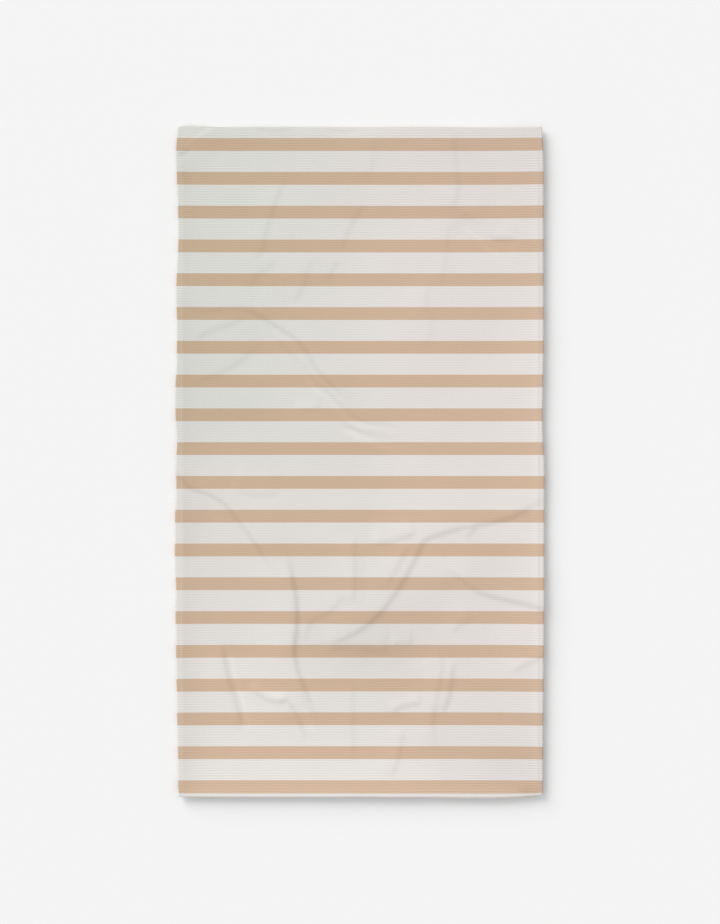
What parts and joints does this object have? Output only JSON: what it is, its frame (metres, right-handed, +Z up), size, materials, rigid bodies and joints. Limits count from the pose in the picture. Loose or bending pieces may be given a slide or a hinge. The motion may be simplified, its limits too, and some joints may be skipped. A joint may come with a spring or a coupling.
{
  "type": "golf towel",
  "caption": "Rectangular waffle-weave cloth towel with even crosswise stripes, double-turned hems and mitred corners, lying flat.",
  "frame": {"origin": "under the towel's centre, on the surface that it lies on", "axes": "+Z up out of the face, +Y along the towel's length towards the end with the wider white band, +X across it"},
  "size_m": [0.6096, 1.1176, 0.005],
  "materials": {
    "waffle_cloth": "soft matte waffle-weave microfibre, off-white, with twenty tan stripes printed across it",
    "sewing_thread": "spun polyester sewing thread, off-white, slight sheen"
  },
  "bodies": {
    "root": {"waffle_panel": "waffle_cloth", "hem_top": "waffle_cloth", "hem_bottom": "waffle_cloth", "hem_left": "waffle_cloth", "hem_right": "waffle_cloth", "needle_thread_top": "sewing_thread", "needle_thread_bottom": "sewing_thread", "needle_thread_left": "sewing_thread", "needle_thread_right": "sewing_thread", "bobbin_thread_top": "sewing_thread", "bobbin_thread_bottom": "sewing_thread", "bobbin_thread_left": "sewing_thread", "bobbin_thread_right": "sewing_thread"}
  },
  "joints": []
}
